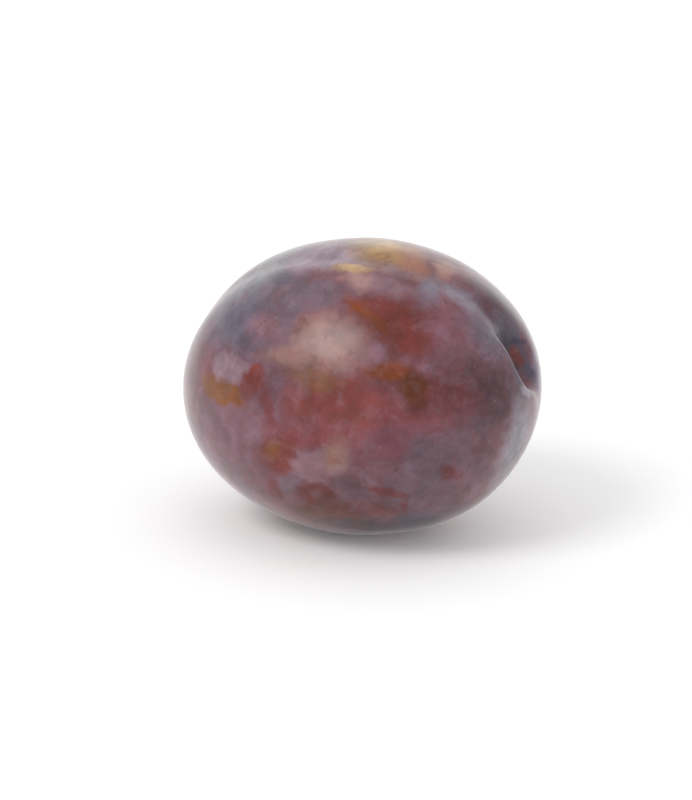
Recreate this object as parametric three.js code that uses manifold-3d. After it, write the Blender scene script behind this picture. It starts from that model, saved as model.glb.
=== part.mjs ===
// A ripe oval plum, picked without its stalk, lying on its side on the small flat that it has settled on.
//
// Units are millimetres and +Z is up. The long axis runs along +X towards the stem end and rises a little,
// as the fruit lies. The origin is on the surface that it rests on, under the middle of its outline.
//
// The fruit is one solid. Its skin is an ellipsoid with a few fuller and flatter places, a stem cavity, a
// suture that runs from the cavity to the tip, a small dimple at the tip and the rest flat.
import * as THREE from "three";
import { mergeVertices } from "three/addons/utils/BufferGeometryUtils.js";
import Module from "manifold-3d";

const { degToRad, lerp, smoothstep } = THREE.MathUtils;

// Driving dimensions
const HALF_LENGTH = 28.2;
const HALF_WIDTH = 22.6;
const HALF_HEIGHT = 22.4;
const STEM_END_FULLNESS = 0.015; // the share by which the stem end is fuller and the tip slimmer
const REST_TILT = degToRad(8.5); // how far the long axis rises towards the stem end
const REST_FLAT_DEPTH = 0.7; // how much of the round belly the flat takes off

// Where the flesh is fuller or flatter than the ellipsoid: a direction, a height and a spread
const SWELLINGS = [
  { towards: [-0.5, 0.06, 0.86], height: 0.31, spread: degToRad(18) },
  { towards: [0.63, 0.03, -0.78], height: 0.59, spread: degToRad(22) },
  { towards: [-0.82, -0.22, 0.52], height: -0.2, spread: degToRad(16) },
  { towards: [-0.54, -0.51, -0.67], height: -0.27, spread: degToRad(20) },
];

// The cavity that the stalk grew in: an oval, longer along the suture. It opens above the long axis. Its rim
// is firm on the -Y side and rounds off softly across from it.
const CAVITY_ABOVE_AXIS = degToRad(10.5);
const CAVITY_DEPTH = 4.6;
const CAVITY_HALF_WIDTH = 3.2;
const CAVITY_HALF_LENGTH = 5.2;
const CAVITY_SHIFT = -1.2; // along the suture's plane, away from the suture
const CAVITY_NEAR_SOFTNESS = 0.12;
const CAVITY_FAR_SOFTNESS = 0.55;

// The suture, a shallow furrow between two low lips
const SUTURE_SIDE = degToRad(16); // from the top of the fruit round towards -Y
const SUTURE_DEPTH = 0.26;
const SUTURE_HALF_WIDTH = 1.9;
const SUTURE_LIP_HEIGHT = 0.12;
const SUTURE_LIP_OFFSET = 4;
const SUTURE_LIP_HALF_WIDTH = 2.4;
const SUTURE_NOTCH_DEPTH = 0.25; // the extra depth where it opens into the cavity
const SUTURE_NOTCH_AT = degToRad(12); // from the stem axis
const SUTURE_NOTCH_REACH = degToRad(5);
const SUTURE_STARTS = [1, 4]; // from the stem axis, where it begins and where it is whole
const SUTURE_GONE_BY = degToRad(10); // from the tip, where it has died away
const SUTURE_FULL_BY = degToRad(125); // from the tip, where it is at its deepest

// The dimple at the tip, where the flower was
const TIP_DIMPLE_DEPTH = 0.3;
const TIP_DIMPLE_RADIUS = 1.4;

// The mesh: rows run round the stem axis and gather towards the cavity.
const SEGMENTS = 80;
const ROWS = 52;
const ROW_GATHERING = 1.5;

// The stem axis, and the two directions square to it that the angle round it is measured between
const STEM = new THREE.Vector3(Math.cos(CAVITY_ABOVE_AXIS), 0, Math.sin(CAVITY_ABOVE_AXIS));
const TOP = new THREE.Vector3(-Math.sin(CAVITY_ABOVE_AXIS), 0, Math.cos(CAVITY_ABOVE_AXIS));
const FRONT = new THREE.Vector3(0, -1, 0);

const bell = (distance, width) => Math.exp(-((distance / width) ** 2));

// Zero below zero and the value itself above it, with the corner rounded off.
const softRamp = (value, softness) => (value + Math.hypot(value, softness)) / 2;

// The distance from the fruit's middle to its skin, before the cavity and the suture.
function bodyReach(direction) {
  const stretched = Math.hypot(
    direction.x / HALF_LENGTH,
    direction.y / HALF_WIDTH,
    direction.z / HALF_HEIGHT,
  );
  let reach = (1 + STEM_END_FULLNESS * direction.x) / stretched;
  for (const { towards, height, spread } of SWELLINGS) {
    reach += height * bell(direction.angleTo(new THREE.Vector3(...towards)), spread);
  }
  return reach;
}

// How far the suture sinks the skin: across and along are distances from the stem axis, and the furrow
// starts inside the cavity.
function sutureDepth(fromStem, across, along) {
  const fromTip = smoothstep(Math.PI - fromStem, SUTURE_GONE_BY, SUTURE_FULL_BY);
  const notch = SUTURE_NOTCH_DEPTH * bell(fromStem - SUTURE_NOTCH_AT, SUTURE_NOTCH_REACH);
  const furrow = (SUTURE_DEPTH + notch) * bell(across, SUTURE_HALF_WIDTH);
  const lips = SUTURE_LIP_HEIGHT * bell(Math.abs(across) - SUTURE_LIP_OFFSET, SUTURE_LIP_HALF_WIDTH);
  return smoothstep(along, ...SUTURE_STARTS) * fromTip * (furrow - lips);
}

function cavityDepth(across, alongSuture) {
  const along = alongSuture - CAVITY_SHIFT;
  const fromMiddle = (across / CAVITY_HALF_WIDTH) ** 2 + (along / CAVITY_HALF_LENGTH) ** 2;
  const farShare = smoothstep(0.6 * Math.max(along, 0) - across, -2, 2);
  const softness = lerp(CAVITY_NEAR_SOFTNESS, CAVITY_FAR_SOFTNESS, farShare);
  return CAVITY_DEPTH * softRamp(1 - fromMiddle, softness);
}

// The point of the skin at an angle from the stem axis and an angle round it.
function skinPoint(fromStem, round) {
  const direction = STEM.clone()
    .multiplyScalar(Math.cos(fromStem))
    .addScaledVector(TOP, Math.sin(fromStem) * Math.cos(round))
    .addScaledVector(FRONT, Math.sin(fromStem) * Math.sin(round));
  const reach = bodyReach(direction);
  const offAxis = reach * Math.sin(fromStem);
  const across = offAxis * Math.sin(round - SUTURE_SIDE);
  const along = offAxis * Math.cos(round - SUTURE_SIDE);
  const point = direction.multiplyScalar(reach - sutureDepth(fromStem, across, along));
  if (fromStem < Math.PI / 2) return point.addScaledVector(STEM, -cavityDepth(across, along));
  return point.addScaledVector(STEM, TIP_DIMPLE_DEPTH * bell(offAxis, TIP_DIMPLE_RADIUS));
}

// A sphere's vertices, moved to the skin. The sphere's own pole, +Y, becomes the stem axis.
function makeSkin() {
  const geometry = new THREE.SphereGeometry(1, SEGMENTS, ROWS);
  const vertices = geometry.attributes.position;
  for (let i = 0; i < vertices.count; i++) {
    const rowShare = Math.acos(THREE.MathUtils.clamp(vertices.getY(i), -1, 1)) / Math.PI;
    const round = Math.atan2(-vertices.getZ(i), vertices.getX(i));
    const point = skinPoint(Math.PI * rowShare ** ROW_GATHERING, round);
    vertices.setXYZ(i, point.x, point.y, point.z);
  }
  return geometry.rotateY(-REST_TILT);
}

const wasm = await Module();
wasm.setup();

function toSolid(geometry) {
  const bare = geometry.clone();
  bare.deleteAttribute("normal");
  bare.deleteAttribute("uv");
  const merged = mergeVertices(bare, 1e-4);
  return new wasm.Manifold(
    new wasm.Mesh({
      numProp: 3,
      vertProperties: merged.attributes.position.array,
      triVerts: new Uint32Array(merged.index.array),
    }),
  );
}

function toGeometry(solid) {
  const { vertProperties, triVerts } = solid.getMesh();
  const geometry = new THREE.BufferGeometry();
  geometry.setAttribute("position", new THREE.BufferAttribute(vertProperties, 3));
  geometry.setIndex(new THREE.BufferAttribute(triVerts, 1));
  geometry.computeVertexNormals();
  geometry.computeBoundingBox();
  return geometry;
}

// The skin with its belly cut off level, REST_FLAT_DEPTH above its lowest point.
function cutRestFlat(skin) {
  skin.computeBoundingBox();
  const size = skin.boundingBox.getSize(new THREE.Vector3()).multiplyScalar(2);
  const level = skin.boundingBox.min.z + REST_FLAT_DEPTH;
  const below = new THREE.BoxGeometry(size.x, size.y, size.z).translate(0, 0, level - size.z / 2);
  return toGeometry(toSolid(skin).subtract(toSolid(below)));
}

const skinMaterial = new THREE.MeshStandardMaterial({ color: 0x7d5055, roughness: 0.5, metalness: 0 });

const plum = new THREE.Mesh(cutRestFlat(makeSkin()), skinMaterial);
plum.name = "plum";
const { min, max } = plum.geometry.boundingBox;
plum.position.set(-(min.x + max.x) / 2, -(min.y + max.y) / 2, -min.z);

const fruit = new THREE.Group();
fruit.add(plum);

export default fruit;
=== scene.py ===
"""A ripe oval plum on its side on a white studio floor, in metres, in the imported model's frame."""

import math

import bpy
import numpy as np
from mathutils import Matrix, Vector, noise


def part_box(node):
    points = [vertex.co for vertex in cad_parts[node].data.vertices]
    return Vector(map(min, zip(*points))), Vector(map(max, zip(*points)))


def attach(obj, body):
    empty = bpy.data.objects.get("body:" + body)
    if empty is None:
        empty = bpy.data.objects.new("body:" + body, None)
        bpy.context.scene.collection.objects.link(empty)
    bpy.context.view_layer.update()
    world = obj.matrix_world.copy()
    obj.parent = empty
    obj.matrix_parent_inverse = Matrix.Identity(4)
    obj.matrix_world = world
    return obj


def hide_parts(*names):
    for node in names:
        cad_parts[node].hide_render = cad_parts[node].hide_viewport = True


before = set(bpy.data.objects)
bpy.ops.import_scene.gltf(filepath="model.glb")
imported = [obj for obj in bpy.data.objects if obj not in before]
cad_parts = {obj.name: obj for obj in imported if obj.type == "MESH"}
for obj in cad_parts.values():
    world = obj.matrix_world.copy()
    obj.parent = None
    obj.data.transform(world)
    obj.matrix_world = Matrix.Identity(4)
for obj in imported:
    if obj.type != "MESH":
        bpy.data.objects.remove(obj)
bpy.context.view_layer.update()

MM = 0.001
PLUM_LOW, PLUM_HIGH = (np.array(corner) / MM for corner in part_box("plum"))

# ---- The fruit's shape, in millimetres, with the CAD model's dimensions ----

HALF_LENGTH, HALF_WIDTH, HALF_HEIGHT = 28.2, 22.6, 22.4
STEM_END_FULLNESS = 0.015
REST_TILT = math.radians(8.5)
REST_FLAT_DEPTH = 0.7

# Where the flesh is fuller or flatter than the ellipsoid: a direction, a height and a spread
SWELLINGS = [
    ((-0.50, 0.06, 0.86), 0.31, math.radians(18)),
    ((0.63, 0.03, -0.78), 0.59, math.radians(22)),
    ((-0.82, -0.22, 0.52), -0.20, math.radians(16)),
    ((-0.54, -0.51, -0.67), -0.27, math.radians(20)),
]

CAVITY_ABOVE_AXIS = math.radians(10.5)
CAVITY_DEPTH, CAVITY_HALF_WIDTH, CAVITY_HALF_LENGTH = 4.6, 3.2, 5.2
CAVITY_SHIFT = -1.2  # along the suture's plane, away from the suture
CAVITY_NEAR_SOFTNESS, CAVITY_FAR_SOFTNESS = 0.12, 0.55  # of the rim, on the -Y side and across from it
CAVITY_FAR_TURN, CAVITY_FAR_BLEND = 0.6, 2.0  # how the line between them leans, and its half width

SUTURE_SIDE = math.radians(16)  # from the top of the fruit round towards -Y
SUTURE_DEPTH, SUTURE_HALF_WIDTH = 0.26, 1.9
SUTURE_LIP_HEIGHT, SUTURE_LIP_OFFSET, SUTURE_LIP_HALF_WIDTH = 0.12, 4.0, 2.4
SUTURE_NOTCH_DEPTH, SUTURE_NOTCH_AT, SUTURE_NOTCH_REACH = 0.25, math.radians(12), math.radians(5)
SUTURE_STARTS = (1.0, 4.0)  # from the stem axis, where it begins and where it is whole
SUTURE_GONE_BY, SUTURE_FULL_BY = math.radians(10), math.radians(125)  # from the tip

TIP_DIMPLE_DEPTH, TIP_DIMPLE_RADIUS = 0.3, 1.4

# Detail that is finer than the CAD model
UNDULATION_HEIGHT, UNDULATION_SIZE = 0.07, 6.0
DIMPLING_HEIGHT, DIMPLING_SIZE = 0.015, 1.6
FLAT_EDGE_SOFTNESS = 0.12

SEGMENTS, ROWS, ROW_GATHERING = 384, 246, 1.5

# The bake map: the rows where the stem end's disc stops and the tip's starts, the discs' middles and
# radius, the band between them and the column where the band is cut open
STEM_DISC_ROWS, TIP_DISC_ROW = 90, 208
STEM_DISC_ANGLE = math.pi * (STEM_DISC_ROWS / ROWS) ** ROW_GATHERING
TIP_DISC_ANGLE = math.pi - math.pi * (TIP_DISC_ROW / ROWS) ** ROW_GATHERING
MAP_STEM_DISC, MAP_TIP_DISC, MAP_DISC_RADIUS = (0.25, 0.75), (0.75, 0.75), 0.24
MAP_BAND_BOTTOM, MAP_BAND_TOP, MAP_SEAM_COLUMN = 0.01, 0.49, 240

# The stem axis, and the two directions square to it that the angle round it is measured between
STEM = np.array([math.cos(CAVITY_ABOVE_AXIS), 0, math.sin(CAVITY_ABOVE_AXIS)])
TOP = np.array([-math.sin(CAVITY_ABOVE_AXIS), 0, math.cos(CAVITY_ABOVE_AXIS)])
FRONT = np.array([0, -1.0, 0])


def bell(distance, width):
    return np.exp(-((distance / width) ** 2))


def soft_ramp(value, softness):
    """Zero below zero and the value itself above it, with the corner rounded off."""
    return (value + np.hypot(value, softness)) / 2


def smoothstep(value, start, end):
    share = np.clip((value - start) / (end - start), 0, 1)
    return share * share * (3 - 2 * share)


def body_reach(direction):
    """The distance from the fruit's middle to its skin, before the cavity and the suture."""
    stretched = np.linalg.norm(direction / (HALF_LENGTH, HALF_WIDTH, HALF_HEIGHT), axis=-1)
    reach = (1 + STEM_END_FULLNESS * direction[..., 0]) / stretched
    for towards, height, spread in SWELLINGS:
        centre = np.array(towards) / np.linalg.norm(towards)
        reach = reach + height * bell(np.arccos(np.clip(direction @ centre, -1, 1)), spread)
    return reach


def suture_depth(from_stem, across, along):
    """How far the suture sinks the skin. Across and along are distances from the stem axis."""
    from_tip = smoothstep(math.pi - from_stem, SUTURE_GONE_BY, SUTURE_FULL_BY)
    notch = SUTURE_NOTCH_DEPTH * bell(from_stem - SUTURE_NOTCH_AT, SUTURE_NOTCH_REACH)
    furrow = (SUTURE_DEPTH + notch) * bell(across, SUTURE_HALF_WIDTH)
    lips = SUTURE_LIP_HEIGHT * bell(np.abs(across) - SUTURE_LIP_OFFSET, SUTURE_LIP_HALF_WIDTH)
    return smoothstep(along, *SUTURE_STARTS) * from_tip * (furrow - lips)


def cavity_depth(across, along):
    along = along - CAVITY_SHIFT
    from_middle = (across / CAVITY_HALF_WIDTH) ** 2 + (along / CAVITY_HALF_LENGTH) ** 2
    beyond = CAVITY_FAR_TURN * np.maximum(along, 0) - across
    far_share = smoothstep(beyond, -CAVITY_FAR_BLEND, CAVITY_FAR_BLEND)
    softness = CAVITY_NEAR_SOFTNESS + (CAVITY_FAR_SOFTNESS - CAVITY_NEAR_SOFTNESS) * far_share
    return CAVITY_DEPTH * soft_ramp(1 - from_middle, softness)


def skin_points(from_stem, around):
    """Points of the skin at angles from the stem axis and round it, on the fruit before it is laid down."""
    sideways = np.cos(around)[..., None] * TOP + np.sin(around)[..., None] * FRONT
    direction = np.cos(from_stem)[..., None] * STEM + np.sin(from_stem)[..., None] * sideways
    reach = body_reach(direction)
    off_axis = reach * np.sin(from_stem)
    across = off_axis * np.sin(around - SUTURE_SIDE)
    along = off_axis * np.cos(around - SUTURE_SIDE)
    points = direction * (reach - suture_depth(from_stem, across, along))[..., None]
    tip_dimple = -TIP_DIMPLE_DEPTH * bell(off_axis, TIP_DIMPLE_RADIUS)
    inwards = np.where(from_stem < math.pi / 2, cavity_depth(across, along), tip_dimple)
    return points - inwards[..., None] * STEM


def lay_down(points):
    """Tilts the fruit as it lies."""
    tilt = np.array(Matrix.Rotation(-REST_TILT, 3, "Y"))
    return points @ tilt.T


def undulate(points):
    """Moves each point in or out a little, in soft waves a few millimetres long and finer dimpling."""
    lengths = np.linalg.norm(points, axis=1)
    waves = np.array([noise.noise(Vector(point / UNDULATION_SIZE)) for point in points])
    dimpling = np.array([noise.noise(Vector(point / DIMPLING_SIZE)) for point in points])
    moved = UNDULATION_HEIGHT * waves + DIMPLING_HEIGHT * dimpling
    return points * (1 + moved / lengths)[:, None]


def settle(points):
    """Presses the belly flat with a soft edge."""
    level = points[:, 2].min() + REST_FLAT_DEPTH
    settled = points.copy()
    settled[:, 2] = level + soft_ramp(points[:, 2] - level, FLAT_EDGE_SOFTNESS)
    return settled


class Placing:
    """Carries points of the fruit's own shape into the model's frame, so that its box is the CAD node's."""

    def __init__(self, shape):
        self.low = shape.min(axis=0)
        self.scale = (PLUM_HIGH - PLUM_LOW) / (shape.max(axis=0) - self.low)

    def __call__(self, points):
        return PLUM_LOW + (points - self.low) * self.scale


def skin_grid():
    """The skin's points row by row from the stem to the tip, with one point at each end."""
    shares = np.linspace(0, 1, ROWS + 1)[1:-1]
    from_stem, around = np.meshgrid(
        math.pi * shares**ROW_GATHERING,
        np.linspace(0, 2 * math.pi, SEGMENTS, endpoint=False),
        indexing="ij",
    )
    ends = skin_points(np.array([0.0, math.pi]), np.zeros(2))
    return np.vstack([ends[:1], skin_points(from_stem, around).reshape(-1, 3), ends[1:]])


def skin_corners():
    """Each face's corners as row and column, facing out: quads, with a fan of triangles at each end."""
    for column in range(SEGMENTS):
        for row in range(ROWS):
            corners = [(row, column), (row + 1, column), (row + 1, column + 1), (row, column + 1)]
            if row == 0:
                corners = corners[:3]
            if row == ROWS - 1:
                corners = [corners[0], corners[1], corners[3]]
            yield row, corners


def vertex_number(row, column):
    if row == 0:
        return 0
    if row == ROWS:
        return 1 + (ROWS - 1) * SEGMENTS
    return 1 + (row - 1) * SEGMENTS + column % SEGMENTS


def bake_place(face_row, row, column):
    """A corner's place on the bake map: a disc for each end of the fruit over a band for its girth."""
    from_stem = math.pi * (row / ROWS) ** ROW_GATHERING
    turn = 2 * math.pi * column / SEGMENTS
    if face_row < STEM_DISC_ROWS:
        radius = MAP_DISC_RADIUS * from_stem / STEM_DISC_ANGLE
        return MAP_STEM_DISC[0] + radius * math.cos(turn), MAP_STEM_DISC[1] + radius * math.sin(turn)
    if face_row >= TIP_DISC_ROW:
        radius = MAP_DISC_RADIUS * (math.pi - from_stem) / TIP_DISC_ANGLE
        return MAP_TIP_DISC[0] + radius * math.cos(turn), MAP_TIP_DISC[1] - radius * math.sin(turn)
    share = (from_stem - STEM_DISC_ANGLE) / (math.pi - STEM_DISC_ANGLE - TIP_DISC_ANGLE)
    return column / SEGMENTS, MAP_BAND_TOP + (MAP_BAND_BOTTOM - MAP_BAND_TOP) * share


def add_bake_map(mesh):
    places = []
    for face_row, corners in skin_corners():
        for row, column in corners:
            seamed = (column - MAP_SEAM_COLUMN) % SEGMENTS
            if column > corners[0][1]:
                seamed = (corners[0][1] - MAP_SEAM_COLUMN) % SEGMENTS + 1
            places.extend(bake_place(face_row, row, seamed))
    mesh.uv_layers.new(name="OFBake").data.foreach_set("uv", places)


def make_plum():
    shape = settle(lay_down(undulate(skin_grid())))
    place = Placing(shape)
    faces = [[vertex_number(*corner) for corner in corners] for _, corners in skin_corners()]
    mesh = bpy.data.meshes.new("ripe_plum")
    mesh.from_pydata((place(shape) * MM).tolist(), [], faces)
    mesh.shade_smooth()
    add_bake_map(mesh)
    plum = bpy.data.objects.new("ripe_plum", mesh)
    bpy.context.scene.collection.objects.link(plum)
    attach(plum, "root")
    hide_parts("plum")
    return plum, place


# ---- Materials ----


class Tree:
    """A material's node tree, with a short call that adds a node and links or sets its inputs."""

    def __init__(self, material):
        material.use_nodes = True
        self.nodes = material.node_tree.nodes
        self.links = material.node_tree.links
        self.shader = self.nodes["Principled BSDF"]

    def add(self, kind, inputs=(), output=0, **settings):
        node = self.nodes.new("ShaderNode" + kind)
        for name, value in settings.items():
            setattr(node, name, value)
        for socket, value in dict(inputs).items():
            self.put(node.inputs[socket], value)
        return node.outputs[output]

    def put(self, socket, value):
        if isinstance(value, bpy.types.NodeSocket):
            self.links.new(value, socket)
        else:
            socket.default_value = value

    def maths(self, operation, *values):
        return self.add("Math", enumerate(values), operation=operation)

    def vector(self, operation, *values):
        return self.add("VectorMath", enumerate(values), operation=operation)

    def length(self, vector):
        return self.vector("LENGTH", vector).node.outputs["Value"]

    def scaled(self, vector, factor):
        product = self.vector("SCALE", vector)
        self.put(product.node.inputs["Scale"], factor)
        return product

    def span(self, value, start, end, low=0.0, high=1.0):
        """A smooth step from low to high as the value goes from start to end."""
        inputs = {"Value": value, "From Min": start, "From Max": end, "To Min": low, "To Max": high}
        return self.add("MapRange", inputs, interpolation_type="SMOOTHSTEP")

    def mix(self, share, first, second):
        """A mix of two colours. They go into the Mix node's inputs 6 and 7 and leave by its output 2."""
        return self.add("Mix", {0: share, 6: first, 7: second}, output=2, data_type="RGBA")

    def noise(self, places, size, detail, roughness=0.55, output="Fac"):
        inputs = {"Vector": places, "Scale": 1 / size, "Detail": detail, "Roughness": roughness}
        return self.add("TexNoise", inputs, output=output)


def colour(red, green, blue):
    return (red, green, blue, 1.0)


# The linear colours of the bare skin, and of the wax bloom that lies on it
SKIN_COLOURS = {
    "yellow": (0.46, 0.27, 0.09),
    "grey": (0.19, 0.20, 0.205),
    "orange": (0.34, 0.135, 0.070),
    "ochre": (0.200, 0.062, 0.014),
    "amber": (0.190, 0.038, 0.004),
    "rust": (0.200, 0.036, 0.020),
    "red-brown": (0.175, 0.030, 0.024),
    "crimson": (0.175, 0.038, 0.044),
    "mauve": (0.150, 0.036, 0.054),
    "violet": (0.084, 0.026, 0.037),
    "blue": (0.060, 0.045, 0.070),
    "navy": (0.020, 0.015, 0.046),
}
BLOOM_COLOUR = (0.30, 0.25, 0.31)

# Markings of the skin, each laid over those before it. Its place is in degrees from the stem and round it
# from the top towards -Y. Then come half its length, half its width and its depth under the skin in
# millimetres, and how far its length is turned from pointing at the stem. Last come the skin's colour, how
# much bloom is on it, how dark it is, and how soft its edge is. Cycles holds them all in one small stack:
# six more markings still fit, but with nine more the plum renders black.
MARKINGS = [
    # name, from stem, round, half length, half width, depth, turn, skin, bloom, darkness, softness
    ("blue bloom over the shoulder", 104, 36, 10.5, 8.2, 5, -39, "navy", 0.30, 0.0, 0.4),
    ("violet bloom at the top", 82, 38, 7.0, 3.0, 5, -4, "violet", 0.28, 0.0, 0.4),
    ("pink bloom at the top", 81, 14, 7.0, 3.8, 5, -5, "crimson", 0.75, 0.0, 0.5),
    ("mauve flank near the tip", 122, 92, 9.0, 6.5, 6, 11, "mauve", 0.22, 0.05, 0.35),
    ("smooth mauve shoulder", 26, 72, 8.5, 7.0, 6, 25, "mauve", 0.16, 0.08, 0.7),
    ("grey bloom by the cavity", 14, 49, 4.0, 3.0, 4, -59, "blue", 0.28, 0.0, 0.7),
    # Painted shade: the violet by the cavity is darkened for the shade on the fruit's right side.
    ("violet by the cavity in painted shade", 21, 108, 7.0, 4.0, 5, -60, "violet", 0.04, 0.28, 0.7),
    # Painted sheen: this grey is partly bloom and partly the pale sheen along the lower right rim.
    ("grey bloom and painted rim sheen below the cavity", 28, 168, 7.0, 3.2, 4, 10, "grey", 0.40, 0.0, 0.7),
    ("mauve cheek", 52, 108, 5.5, 3.4, 4, -27, "mauve", 0.06, 0.10, 0.5),
    ("crimson right of the blotch", 33, 96, 4.4, 3.0, 4, -30, "crimson", 0.0, 0.34, 0.7),
    ("violet patch low on the cheek", 47, 125, 5.4, 4.2, 4, 0, "violet", 0.18, 0.08, 0.5),
    ("red-brown belly", 70, 85, 8.2, 4.6, 5, -12, "red-brown", 0.04, 0.0, 0.4),
    ("red-brown cheek", 47, 52, 6.6, 4.6, 5, -38, "red-brown", 0.0, 0.18, 0.35),
    ("dark red in the cheek", 50, 54, 3.4, 2.0, 4, -36, "red-brown", 0.0, 0.22, 0.5),
    ("amber streak in the cheek", 56, 48, 3.8, 1.1, 4, -40, "amber", 0.0, 0.12, 0.8),
    ("speckled bloom over the cheek", 51, 33, 3.4, 1.6, 4, -6, "crimson", 0.42, 0.0, 0.8),
    ("crimson under the blotch", 49, 96, 4.4, 1.7, 4, -20, "crimson", 0.0, 0.10, 0.6),
    ("dark ochre blotch", 43, 86, 3.3, 2.2, 4, -75, "amber", 0.0, 0.58, 0.45),
    ("ochre band", 50, 75, 3.2, 1.4, 4, -10, "amber", 0.0, 0.06, 0.6),
    ("small mauve patch", 53, 66, 1.7, 1.1, 4, -28, "mauve", 0.24, 0.0, 0.5),
    # Painted highlight: the pale cheek is lightened where the key lamp's highlight falls, over real orange
    # skin under bloom.
    ("pale cheek under a painted highlight", 70, 60, 5.6, 4.4, 4, -22, "orange", 0.35, 0.20, 0.5),
    ("brown smear", 76, 73, 3.8, 1.3, 4, -20, "orange", 0.0, 0.42, 0.8),
    ("ochre smear", 86, 63, 4.2, 1.2, 4, -18, "ochre", 0.30, 0.05, 0.9),
    ("crimson shoulder", 95, 49, 3.2, 1.9, 4, -20, "crimson", 0.28, 0.0, 0.8),
    ("ochre crescent", 119, 69, 5.6, 2.2, 4, -28, "ochre", 0.0, 0.05, 0.25),
    ("pink above the crescent", 113, 62, 4.6, 2.0, 4, -23, "crimson", 0.50, 0.0, 0.3),
    ("crimson streak", 98, 80, 3.6, 1.1, 4, -83, "crimson", 0.0, 0.20, 0.5),
    ("rust beside the crescent", 103, 69, 2.7, 1.8, 4, 48, "red-brown", 0.0, 0.08, 0.35),
    ("crimson under the belly", 83, 94, 6.4, 2.2, 4, -15, "crimson", 0.0, 0.0, 0.5),
    ("rust blot", 99, 99, 3.9, 3.0, 4, 22, "red-brown", 0.0, 0.15, 0.45),
    ("ochre in the blot", 100, 97, 1.6, 1.1, 4, 3, "ochre", 0.0, 0.20, 0.8),
    ("crimson thread", 111, 116, 2.7, 1.1, 4, 68, "crimson", 0.0, 0.20, 0.4),
    ("pink bloom under the belly", 86, 107, 4.6, 2.6, 4, 4, "crimson", 0.35, 0.0, 0.3),
    ("beige scuff", 76, 105, 2.8, 1.8, 4, 48, "orange", 0.30, 0.36, 0.6),
    ("bluish bloom low down", 101, 113, 2.8, 1.8, 4, 20, "violet", 0.24, 0.0, 0.35),
    # Painted shade: these markings under the belly are darkened for the shade that falls there near the
    # floor, over real rust, olive, violet and crimson skin.
    ("rust low down in painted shade", 93, 120, 3.2, 2.2, 4, 16, "red-brown", 0.0, 0.35, 0.4),
    ("olive underside in painted shade", 94, 132, 7.4, 2.9, 5, -4, "amber", 0.0, 0.52, 0.5),
    ("violet underside in painted shade", 84, 146, 7.6, 2.6, 5, -29, "violet", 0.0, 0.54, 0.5),
    ("red along the underside in painted shade", 78, 135, 4.0, 2.2, 4, -26, "crimson", 0.0, 0.30, 0.6),
    ("violet under the cheek", 58, 132, 4.4, 3.4, 4, -24, "violet", 0.20, 0.0, 0.6),
    ("red streak along", 66, 128, 2.9, 0.9, 4, -38, "crimson", 0.0, 0.25, 0.4),
    ("red streak across", 65, 138, 3.0, 0.7, 4, 53, "crimson", 0.0, 0.25, 0.4),
    # Painted shade: the blue-grey underside is darkened for the shade under the belly, over real blue skin
    # under bloom.
    ("blue-grey underside in painted shade", 71, 158, 5.6, 3.2, 5, 72, "blue", 0.05, 0.45, 0.5),
    ("red fleck", 45, 136, 1.9, 1.3, 3, -75, "crimson", 0.0, 0.35, 0.7),
    ("grey at the upper shoulder", 105, 13, 5.4, 4.4, 4, 81, "grey", 0.20, 0.0, 0.8),
    ("brown below the fleck", 61, 30, 2.4, 1.7, 4, -17, "orange", 0.40, 0.0, 0.8),
    ("yellow crown", 60, 1, 5.2, 4.0, 4, -41, "yellow", 0.0, 0.08, 0.9),
    ("orange beside the suture", 47, 6, 4.2, 2.0, 4, -50, "orange", 0.10, 0.05, 0.8),
    ("yellow fleck", 65, 23, 3.0, 1.3, 4, 4, "yellow", 0.18, 0.0, 0.5),
    ("pink scar by the suture", 35, 1, 2.6, 1.3, 4, -84, "orange", 0.30, 0.05, 0.6),
    ("bloom along the suture", 25, 18, 4.0, 1.6, 4, -12, "blue", 0.60, 0.0, 0.6),
    ("grey-blue by the suture", 35, 26, 3.0, 1.8, 4, 86, "blue", 0.42, 0.0, 0.6),
    ("mauve-brown beyond the suture", 18, -24, 6.0, 4.0, 5, -75, "violet", 0.05, 0.35, 0.6),
    ("violet shoulder at the back", 32, -95, 9.0, 6.0, 6, 30, "violet", 0.25, 0.0, 0.6),
    ("blue bloom at the back", 98, -75, 11.0, 8.0, 6, 24, "blue", 0.42, 0.0, 0.4),
    ("red-brown back", 68, -105, 8.0, 5.0, 5, -15, "red-brown", 0.05, 0.0, 0.4),
    ("ochre blotch at the back", 80, -98, 4.2, 2.0, 4, -35, "ochre", 0.05, 0.10, 0.35),
    ("rust blot at the back", 52, -125, 3.4, 2.6, 4, 40, "rust", 0.05, 0.10, 0.3),
    ("pink bloom low at the back", 100, -128, 6.0, 3.6, 5, 12, "crimson", 0.40, 0.0, 0.4),
    ("violet bloom round the tip", 166, 20, 7.5, 4.0, 5, 40, "violet", 0.30, 0.0, 0.7),
]

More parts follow.
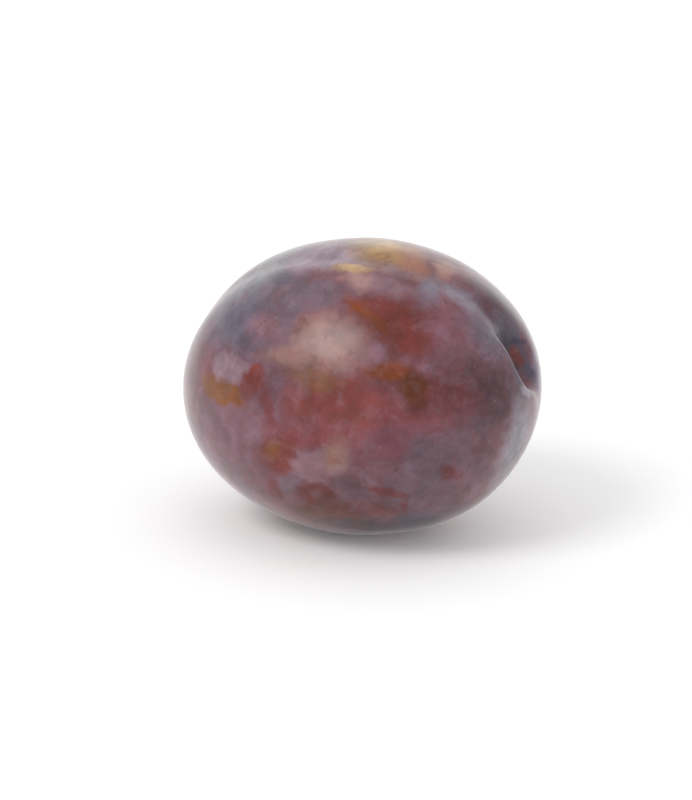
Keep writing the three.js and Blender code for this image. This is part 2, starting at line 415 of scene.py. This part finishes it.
# Markings in the cavity and on its rim, whose edges are less ragged. Some are painted shade in the cavity,
# a painted highlight on a fold and a painted sheen on the far lip.
CAVITY_MARKINGS = [
    # Painted sheen: the far lip's pale bloom is partly real bloom and partly the pale sheen along the
    # fruit's right rim.
    ("far lip of the cavity with painted rim sheen", 13.5, -130, 4.2, 1.6, 4, -73, "blue", 0.50, 0.0, 0.7),
    # Painted shade: the stem cavity is darkened a little for the shade in it, and the three navy markings
    # after it are painted shade in its depth, under a little bloom.
    ("stem cavity", 2, -10, 5.8, 3.8, 14, 0, "blue", 0.17, 0.10, 0.3),
    ("painted shade band across the cavity", 6, -68, 1.7, 0.5, 1.5, -43, "navy", 0.14, 0.0, 0.5),
    ("painted shade on the deep side of the cavity", 5, -30, 1.7, 0.5, 1.5, 71, "navy", 0.12, 0.0, 0.4),
    ("painted shade at the foot of the cavity", 10, -135, 1.8, 0.9, 1.5, -58, "navy", 0.22, 0.0, 0.6),
    ("corky scar", 6, -109, 1.7, 0.8, 2.0, -67, "rust", 0.08, 0.0, 0.4),
    # Painted highlight: the fold by the cavity is pale where light catches it, painted in bloom.
    ("painted highlight on the fold by the cavity", 12, 165, 1.7, 0.7, 1.5, 66, "blue", 0.95, 0.0, 0.5),
]

# Sizes of noise and how far each pushes the edges of the markings, in millimetres
PUSHES = ((5.0, 3.4), (1.7, 1.6), (0.6, 0.5))
CAVITY_PUSHES = ((1.7, 1.0), (0.6, 0.5))

# The skin's ground and mottling: the size of each noise in millimetres, and how much its colour covers
AREA_SIZE = 14.0
PATCH_SIZE, PATCH_STRENGTH = 6.0, 0.5
RED_SPOT_SIZE, RED_SPOT_STRENGTH = 1.8, 0.30
BLOOM_SIZE, BLOOM_STRENGTH = 2.6, 0.22
LIGHTNESS_SIZE, LIGHTNESS = 3.4, (0.80, 1.20)  # the darkest and the lightest, as factors

TANGENT_STEP = 0.02  # the angle, in radians, over which the skin's slope is taken

LENTICEL_COLOUR = (0.40, 0.28, 0.24)
LENTICEL_SPACING, LENTICEL_RADIUS, LENTICEL_EDGE = 1.3, 0.13, 0.4  # the edge is a share of the radius
LENTICEL_BARE_SHARE, LENTICEL_STRENGTH = 0.3, 0.2  # the share of cells without a dot, and the plainest dot
CREASE_SPACING, CREASE_HALF_WIDTH = 4.0, 0.014  # the half width is in steps of the noise
CREASE_GAPS, CREASE_STRENGTH = 2.3, 0.45  # the size of the noise that breaks them up, and their share

ROUGHNESS = (0.40, 0.55)  # of bare skin, and of skin under bloom
GRAIN_SIZE, GRAIN_STRENGTH, GRAIN_HEIGHT = 0.35, 0.12, 0.05  # of the bump, sizes in millimetres
SKIN_SETTINGS = {
    "IOR": 1.3,
    "Specular IOR Level": 0.25,
    "Coat Weight": 1.0,
    "Coat Roughness": 0.22,
    "Coat IOR": 1.3,
    "Subsurface Weight": 0.08,
    "Subsurface Radius": (0.0016, 0.0006, 0.0005),
    "Subsurface Scale": 1.0,
    "Sheen Weight": 0.45,
    "Sheen Roughness": 0.24,
}
FLOOR_SETTINGS = {
    "Base Color": colour(0.93, 0.93, 0.93),
    "Roughness": 0.9,
    "Specular IOR Level": 0.1,
    "Emission Color": colour(1, 1, 1),
    "Emission Strength": 0.08,
}


def tangent_frame(from_stem, around, place):
    """The place on the skin, with the directions to the stem, round the fruit and out of the skin."""
    angles = np.array([from_stem, from_stem - TANGENT_STEP, from_stem])
    rounds = np.array([around, around, around + TANGENT_STEP])
    here, stemward, beside = place(lay_down(skin_points(angles, rounds)))
    towards_stem = Vector(stemward - here).normalized()
    outwards = Vector(beside - here).cross(towards_stem).normalized()
    return Vector(here), towards_stem, outwards.cross(towards_stem), outwards


def marking_mask(tree, places, place, from_stem, around, half_length, half_width, depth, turn, softness):
    """One inside an oval on the skin and zero outside it, with a narrow soft edge."""
    here, stemward, beside, outwards = tangent_frame(math.radians(from_stem), math.radians(around), place)
    turn = math.radians(turn)
    along = stemward * math.cos(turn) + beside * math.sin(turn)
    over = outwards.cross(along)
    turned = Matrix((along, over, outwards)).transposed().to_euler()
    inputs = {
        "Vector": places,
        "Location": here,
        "Rotation": turned,
        "Scale": (half_length, half_width, depth),
    }
    inside = tree.add("Mapping", inputs, vector_type="TEXTURE")
    return tree.span(tree.length(inside), 1 + softness, 1 - softness)


def shade(skin, bloom, darkness=0.0):
    """The colour of skin under a share of bloom, darkened by a share."""
    mixed = zip(SKIN_COLOURS[skin], BLOOM_COLOUR)
    return colour(*((bare + (waxy - bare) * bloom) * (1 - darkness) for bare, waxy in mixed))


def paint_markings(tree, markings, places, place, ground):
    """The ground's colour with every marking laid over it in turn."""
    painted = ground
    for _, *oval, skin, bloom, darkness, softness in markings:
        mask = marking_mask(tree, places, place, *oval, softness)
        painted = tree.mix(mask, painted, shade(skin, bloom, darkness))
    return painted


def lenticels(tree, places):
    """Tiny pale dots, one in most cells of the skin, each as faint or as plain as its cell says."""
    dots = tree.add("TexVoronoi", {"Vector": places, "Scale": 1 / LENTICEL_SPACING}, feature="F1")
    radius = LENTICEL_RADIUS / LENTICEL_SPACING
    cell = tree.add("SeparateColor", {0: dots.node.outputs["Color"]})
    dot = tree.span(dots, radius * (1 + LENTICEL_EDGE), radius * (1 - LENTICEL_EDGE))
    strength = tree.span(cell, LENTICEL_BARE_SHARE, 1.0, 0.0, LENTICEL_STRENGTH)
    return tree.maths("MULTIPLY", dot, strength)


def creases(tree, places):
    """Thin broken lines where the bloom has cracked or rubbed off."""
    waves = tree.noise(places, CREASE_SPACING, 2)
    away = tree.maths("ABSOLUTE", tree.maths("SUBTRACT", waves, 0.5))
    line = tree.span(away, CREASE_HALF_WIDTH, 0.0)
    whole = tree.span(tree.noise(places, CREASE_GAPS, 3), 0.52, 0.62, 0.0, CREASE_STRENGTH)
    return tree.maths("MULTIPLY", line, whole)


def push_about(tree, places, pushes):
    """Places pushed about by noise of each size, so that every edge painted on them is ragged."""
    pushed = places
    for size, push in pushes:
        wander = tree.vector("SUBTRACT", tree.noise(places, size, 2, output="Color"), (0.5, 0.5, 0.5))
        pushed = tree.vector("MULTIPLY_ADD", wander, (push, push, push), pushed)
    return pushed


def skin_material(place):
    material = bpy.data.materials.new("plum_skin")
    tree = Tree(material)
    here = tree.scaled(tree.add("TexCoord", output="Object"), 1 / MM)

    pushed = push_about(tree, here, PUSHES)

    # The ground that the markings lie on: large soft areas of crimson, mauve and violet under patchy bloom
    share = tree.span(tree.noise(here, AREA_SIZE, 2), 0.35, 0.65)
    ground = tree.mix(share, shade("crimson", 0.10), shade("violet", 0.12))
    share = tree.span(tree.noise(pushed, PATCH_SIZE, 3), 0.42, 0.62, 0.0, PATCH_STRENGTH)
    ground = tree.mix(share, ground, shade("mauve", 0.25))
    skin = paint_markings(tree, MARKINGS, pushed, place, ground)
    nudged = push_about(tree, here, CAVITY_PUSHES)
    skin = paint_markings(tree, CAVITY_MARKINGS, nudged, place, skin)

    # Mottling: redder and bluer spots, patchy bloom, and darker and lighter skin
    share = tree.span(tree.noise(pushed, RED_SPOT_SIZE, 4), 0.48, 0.72, 0.0, RED_SPOT_STRENGTH)
    skin = tree.mix(share, skin, shade("red-brown", 0.0, 0.1))
    bloom = tree.span(tree.noise(pushed, BLOOM_SIZE, 5, 0.65), 0.45, 0.75)
    skin = tree.mix(tree.maths("MULTIPLY", bloom, BLOOM_STRENGTH), skin, shade("blue", 0.75))
    lightness = tree.span(tree.noise(here, LIGHTNESS_SIZE, 4), 0.3, 0.7, *LIGHTNESS)
    skin = tree.scaled(skin, lightness)
    skin = tree.mix(creases(tree, pushed), skin, shade("violet", 0.0, 0.2))
    skin = tree.mix(lenticels(tree, here), skin, colour(*LENTICEL_COLOUR))
    tree.put(tree.shader.inputs["Base Color"], skin)
    tree.put(tree.shader.inputs["Roughness"], tree.span(bloom, 0.0, 1.0, *ROUGHNESS))
    for socket, value in SKIN_SETTINGS.items():
        tree.shader.inputs[socket].default_value = value

    grain = tree.noise(here, GRAIN_SIZE, 3)
    bump = tree.add("Bump", {"Height": grain, "Strength": GRAIN_STRENGTH, "Distance": GRAIN_HEIGHT * MM})
    tree.put(tree.shader.inputs["Normal"], bump)
    return material


def floor_material():
    material = bpy.data.materials.new("studio_floor")
    tree = Tree(material)
    for socket, value in FLOOR_SETTINGS.items():
        tree.shader.inputs[socket].default_value = value
    return material


# ---- The studio ----

VIEW_TURN, VIEW_RISE = math.radians(26.5), math.radians(18)
VIEW_DISTANCE = 0.6
LENS = 179.0
CLIP_END = 50
AIM_RIGHT, AIM_UP = -2.3 * MM, -2.45 * MM  # how far the view's middle is from the fruit's
MIDDLE = Vector((PLUM_LOW + PLUM_HIGH) / 2 * MM)
WORLD_STRENGTH = 0.80
FLOOR_HALF_SIZE = 6.0


def view_axes():
    """The view's right, its up and the way back to the camera."""
    back = Vector(
        (
            math.sin(VIEW_TURN) * math.cos(VIEW_RISE),
            -math.cos(VIEW_TURN) * math.cos(VIEW_RISE),
            math.sin(VIEW_RISE),
        )
    )
    right = Vector((math.cos(VIEW_TURN), math.sin(VIEW_TURN), 0))
    return right, back.cross(right), back


def make_camera():
    right, up, back = view_axes()
    aim = MIDDLE + right * AIM_RIGHT + up * AIM_UP
    camera = bpy.data.cameras.new("camera")
    camera.lens = LENS
    camera.clip_end = CLIP_END
    holder = bpy.data.objects.new("camera", camera)
    turned = Matrix((right, up, back)).transposed().to_4x4()
    holder.matrix_world = Matrix.Translation(aim + back * VIEW_DISTANCE) @ turned
    bpy.context.scene.collection.objects.link(holder)
    bpy.context.scene.camera = holder


def softbox(name, direction, distance, width, height, power):
    """A white rectangular lamp that faces the fruit's middle."""
    light = bpy.data.lights.new(name, "AREA")
    light.shape = "RECTANGLE"
    light.size, light.size_y = width, height
    light.energy = power
    holder = bpy.data.objects.new(name, light)
    holder.location = MIDDLE + direction.normalized() * distance
    holder.rotation_euler = direction.to_track_quat("Z", "Y").to_euler()
    bpy.context.scene.collection.objects.link(holder)


def make_lights():
    """Each lamp by its direction, distance, width, height and power, and the even light all round."""
    right, up, back = view_axes()
    softbox("key", right * -0.54 + up * 0.56 + back * 0.65, 1.2, 0.54, 0.46, 4.9)
    softbox("fill", right * 0.8 + up * 0.25 + back * 0.55, 1.3, 1.6, 1.6, 1.6)
    softbox("overhead", Vector((0.3, 0.25, 1)), 1.3, 2.2, 2.2, 1)
    softbox("behind", up * 0.75 - back, 1.3, 2.0, 1.2, 2)
    world = bpy.data.worlds.new("studio")
    world.use_nodes = True
    background = world.node_tree.nodes["Background"]
    background.inputs["Color"].default_value = colour(1, 1, 1)
    background.inputs["Strength"].default_value = WORLD_STRENGTH
    bpy.context.scene.world = world


def make_floor():
    half = FLOOR_HALF_SIZE
    mesh = bpy.data.meshes.new("floor")
    corners = [(-half, -half, 0), (half, -half, 0), (half, half, 0), (-half, half, 0)]
    mesh.from_pydata(corners, [], [(0, 1, 2, 3)])
    mesh.materials.append(floor_material())
    floor = bpy.data.objects.new("floor", mesh)
    bpy.context.scene.collection.objects.link(floor)


plum, place = make_plum()
plum.data.materials.append(skin_material(place))
make_floor()
make_lights()
make_camera()
bpy.context.scene.view_settings.view_transform = "Standard"
